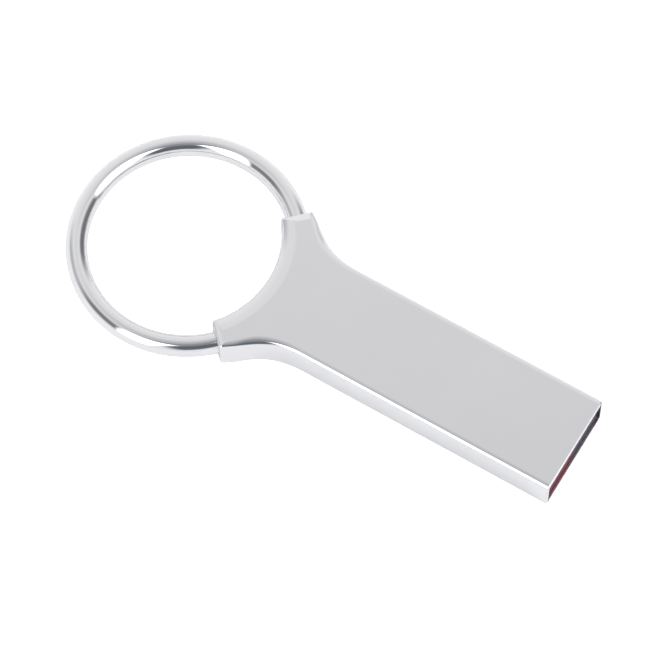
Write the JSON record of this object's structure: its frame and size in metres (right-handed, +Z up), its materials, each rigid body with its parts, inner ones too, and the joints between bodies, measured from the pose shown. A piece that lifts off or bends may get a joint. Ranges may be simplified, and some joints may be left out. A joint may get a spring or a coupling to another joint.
{
  "type": "usb flash drive",
  "caption": "Slim chromed metal USB-A flash drive: a flat bar that is its own plug, flaring into two arms that hold a round wire key ring.",
  "frame": {"origin": "centre of the underside of the whole object's bounding box", "axes": "+X out of the plug's open end along the drive's length, +Z up through its thickness, +Y across it"},
  "size_m": [0.0624, 0.0272, 0.0045],
  "materials": {
    "polished_chrome": "bright polished chrome plating on a zinc casting",
    "chromed_wire": "bright chrome plating on round steel wire",
    "tray_plastic": "fine-textured black moulded plastic",
    "adhesive_film": "dull translucent cream adhesive film",
    "solder_mask": "glossy dark red solder mask over a woven glass-epoxy board",
    "gold_contact": "smooth hard-gold plating",
    "mould_epoxy": "fine-grained black moulding compound",
    "silicon": "mirror-smooth dark grey silicon",
    "ceramic": "fired tan ceramic with tinned end caps",
    "resistor_film": "glossy black resistor glaze with tinned end caps",
    "crystal_can": "seam-welded plated metal lid"
  },
  "bodies": {
    "root": {"housing": "polished_chrome", "key_ring": "chromed_wire", "carrier_adhesive": "adhesive_film", "chip_carrier": "tray_plastic", "module_adhesive": "adhesive_film", "module_substrate": "solder_mask", "epoxy_mould": "mould_epoxy", "contact_vbus": "gold_contact", "contact_data_minus": "gold_contact", "contact_data_plus": "gold_contact", "contact_ground": "gold_contact", "controller_attach_film": "adhesive_film", "controller_die": "silicon", "nand_attach_film_1": "adhesive_film", "nand_die_1": "silicon", "nand_attach_film_2": "adhesive_film", "nand_die_2": "silicon", "crystal": "crystal_can", "capacitor_1": "ceramic", "capacitor_2": "ceramic", "capacitor_3": "ceramic", "capacitor_4": "ceramic", "resistor_1": "resistor_film", "resistor_2": "resistor_film"}
  },
  "joints": []
}
